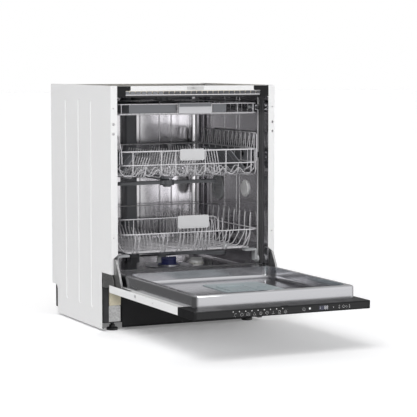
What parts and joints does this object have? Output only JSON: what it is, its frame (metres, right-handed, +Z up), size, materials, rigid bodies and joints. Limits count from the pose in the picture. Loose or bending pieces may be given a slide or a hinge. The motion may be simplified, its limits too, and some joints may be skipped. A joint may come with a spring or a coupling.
{
  "type": "built-in dishwasher",
  "caption": "Built-in 60 cm dishwasher with a drop-down door, two sliding racks, a cutlery tray, spray arms and a stainless tub, shown open.",
  "frame": {"origin": "middle of the footprint on the floor, with the open door counted in", "axes": "+X to the right of someone facing the machine, +Y into the cabinet, +Z up; the door opens towards -Y"},
  "size_m": [0.598, 1.2006, 0.815],
  "materials": {
    "white_paint": "smooth white enamel on folded sheet",
    "tub_steel": "bright polished stainless sheet",
    "liner_steel": "bright polished stainless sheet",
    "galvanised_steel": "dull zinc-coated sheet",
    "striker_steel": "plain steel plate",
    "rail_steel": "bright rolled steel",
    "coated_wire": "grey plastic coat on steel wire",
    "grey_plastic": "satin mid-grey moulding",
    "light_grey_plastic": "satin light grey moulding",
    "arm_plastic": "satin grey moulding",
    "silver_plastic": "silver-painted moulding",
    "tray_handle_plastic": "two-tone grey moulding",
    "white_plastic": "satin white moulding",
    "blue_plastic": "satin dark blue moulding",
    "filter_steel": "fine perforated stainless sheet",
    "dispenser_plastic": "satin grey moulding",
    "black_plastic": "satin black moulding",
    "fascia_gloss": "gloss black overlay",
    "display_glass": "dark tinted window",
    "board_green": "green lacquered board",
    "latch_plastic": "dark grey moulding",
    "seal_rubber": "black moulded rubber",
    "mat_felt": "beige and olive needled felt",
    "door_mat": "dark bitumen-backed felt",
    "base_plastic": "coarse black moulding",
    "pump_plastic": "dark grey moulding",
    "tank_plastic": "milky moulding",
    "foot_plastic": "black moulding"
  },
  "bodies": {
    "cabinet": {"side_panel_left": "white_paint", "side_panel_right": "white_paint", "top_rails": "white_paint", "corner_brackets": "black_plastic", "latch_striker": "striker_steel", "tub": "tub_steel", "insulation_mats": "mat_felt", "door_seals": "seal_rubber", "base_tray": "base_plastic", "plinth_panel": "black_plastic", "steel_brackets": "galvanised_steel", "sump": "base_plastic", "filter_plate": "filter_steel", "filter_cup": "blue_plastic", "circulation_pump": "pump_plastic", "drain_pump": "pump_plastic", "water_softener": "tank_plastic", "salt_cap": "white_plastic", "hose_stubs": "base_plastic", "mains_inlet": "base_plastic", "air_break_chamber": "tank_plastic", "wall_vent_cap": "white_plastic", "wall_vent_grille": "light_grey_plastic", "feed_tube": "grey_plastic", "lower_arm_post": "light_grey_plastic", "rack_rails": "rail_steel"},
    "door": {"door_outer_panel": "white_paint", "door_insulation": "door_mat", "door_liner": "liner_steel", "hinge_arms": "galvanised_steel", "dispenser_body": "dispenser_plastic", "control_housing": "black_plastic", "control_fascia": "fascia_gloss", "control_display": "display_glass", "control_boards": "board_green", "door_latch": "latch_plastic"},
    "detergent_lid": {"dispenser_lid": "dispenser_plastic"},
    "rinse_aid_cap": {"rinse_cap": "dispenser_plastic"},
    "upper_rack": {"upper_basket": "coated_wire", "rack_hangers": "grey_plastic", "spray_duct": "grey_plastic", "upper_handle": "silver_plastic"},
    "upper_runners": {"rack_runners": "rail_steel"},
    "left_cup_shelf": {"cup_shelf_left": "grey_plastic"},
    "right_cup_shelf": {"cup_shelf_right": "grey_plastic"},
    "upper_arm": {"upper_spray_arm": "arm_plastic"},
    "lower_arm": {"lower_spray_arm": "arm_plastic"},
    "ceiling_arm": {"ceiling_spray_arm": "arm_plastic"},
    "lower_rack": {"lower_basket": "coated_wire", "lower_rack_clips": "light_grey_plastic", "lower_handle": "silver_plastic"},
    "folding_row": {"fold_tines": "coated_wire"},
    "front_rollers": {"rack_wheels_front": "light_grey_plastic"},
    "rear_rollers": {"rack_wheels_rear": "light_grey_plastic"},
    "cutlery_tray": {"tray_frame": "coated_wire", "tray_inserts": "grey_plastic", "tray_handle": "tray_handle_plastic"},
    "front_left_foot": {"foot_front_left": "foot_plastic"},
    "front_right_foot": {"foot_front_right": "foot_plastic"},
    "back_foot": {"foot_rear": "foot_plastic"}
  },
  "joints": [
    {"name": "door_hinge", "type": "hinge", "parent": "cabinet", "child": "door", "pos_m": [0, 0.0433, 0.169], "axis": [-1, 0, 0], "range_deg": [0, 90]},
    {"name": "upper_rack_slide", "type": "slide", "parent": "cabinet", "child": "upper_rack", "axis": [0, 1, 0], "range_m": [-0.43, 0]},
    {"name": "runner_slide", "type": "slide", "parent": "cabinet", "child": "upper_runners", "axis": [0, 1, 0], "range_m": [-0.215, 0]},
    {"name": "lower_rack_slide", "type": "slide", "parent": "cabinet", "child": "lower_rack", "axis": [0, 1, 0], "range_m": [-0.45, 0]},
    {"name": "cutlery_tray_slide", "type": "slide", "parent": "cabinet", "child": "cutlery_tray", "axis": [0, 1, 0], "range_m": [-0.43, 0]},
    {"name": "front_roller_spin", "type": "hinge", "parent": "lower_rack", "child": "front_rollers", "pos_m": [0, 0.1023, 0.2197], "axis": [1, 0, 0], "continuous": true},
    {"name": "rear_roller_spin", "type": "hinge", "parent": "lower_rack", "child": "rear_rollers", "pos_m": [0, 0.4803, 0.2197], "axis": [1, 0, 0], "continuous": true},
    {"name": "lower_arm_spin", "type": "hinge", "parent": "cabinet", "child": "lower_arm", "pos_m": [0, 0.3123, 0.232], "axis": [0, 0, 1], "continuous": true},
    {"name": "ceiling_arm_spin", "type": "hinge", "parent": "cabinet", "child": "ceiling_arm", "pos_m": [0, 0.3103, 0.768], "axis": [0, 0, 1], "continuous": true},
    {"name": "upper_arm_spin", "type": "hinge", "parent": "upper_rack", "child": "upper_arm", "pos_m": [0, 0.2653, 0.479], "axis": [0, 0, 1], "continuous": true},
    {"name": "detergent_lid_hinge", "type": "hinge", "parent": "door", "child": "detergent_lid", "pos_m": [0.035, -0.1677, 0.1694], "axis": [1, 0, 0], "range_deg": [-45, 0]},
    {"name": "rinse_cap_turn", "type": "hinge", "parent": "door", "child": "rinse_aid_cap", "pos_m": [0.117, -0.2197, 0.166], "axis": [0, 0, 1], "range_deg": [-90, 0]},
    {"name": "left_shelf_fold", "type": "hinge", "parent": "upper_rack", "child": "left_cup_shelf", "pos_m": [-0.227, 0.2883, 0.528], "axis": [0, 1, 0], "range_deg": [-38, 0]},
    {"name": "right_shelf_fold", "type": "hinge", "parent": "upper_rack", "child": "right_cup_shelf", "pos_m": [0.227, 0.2883, 0.528], "axis": [0, -1, 0], "range_deg": [-38, 0]},
    {"name": "tine_row_fold", "type": "hinge", "parent": "lower_rack", "child": "folding_row", "pos_m": [0.14, 0.2933, 0.2705], "axis": [0, 1, 0], "range_deg": [-80, 0]},
    {"name": "front_left_foot_screw", "type": "slide", "parent": "cabinet", "child": "front_left_foot", "axis": [0, 0, 1], "range_m": [-0.03, 0]},
    {"name": "front_right_foot_screw", "type": "slide", "parent": "cabinet", "child": "front_right_foot", "axis": [0, 0, 1], "range_m": [-0.03, 0]},
    {"name": "back_foot_screw", "type": "slide", "parent": "cabinet", "child": "back_foot", "axis": [0, 0, 1], "range_m": [-0.03, 0]}
  ],
  "couplings": [
    {"joint": "runner_slide", "follows": "upper_rack_slide", "ratio": 0.5},
    {"joint": "front_roller_spin", "follows": "lower_rack_slide", "rad_per_m": -74.074},
    {"joint": "rear_roller_spin", "follows": "lower_rack_slide", "rad_per_m": -74.074}
  ]
}
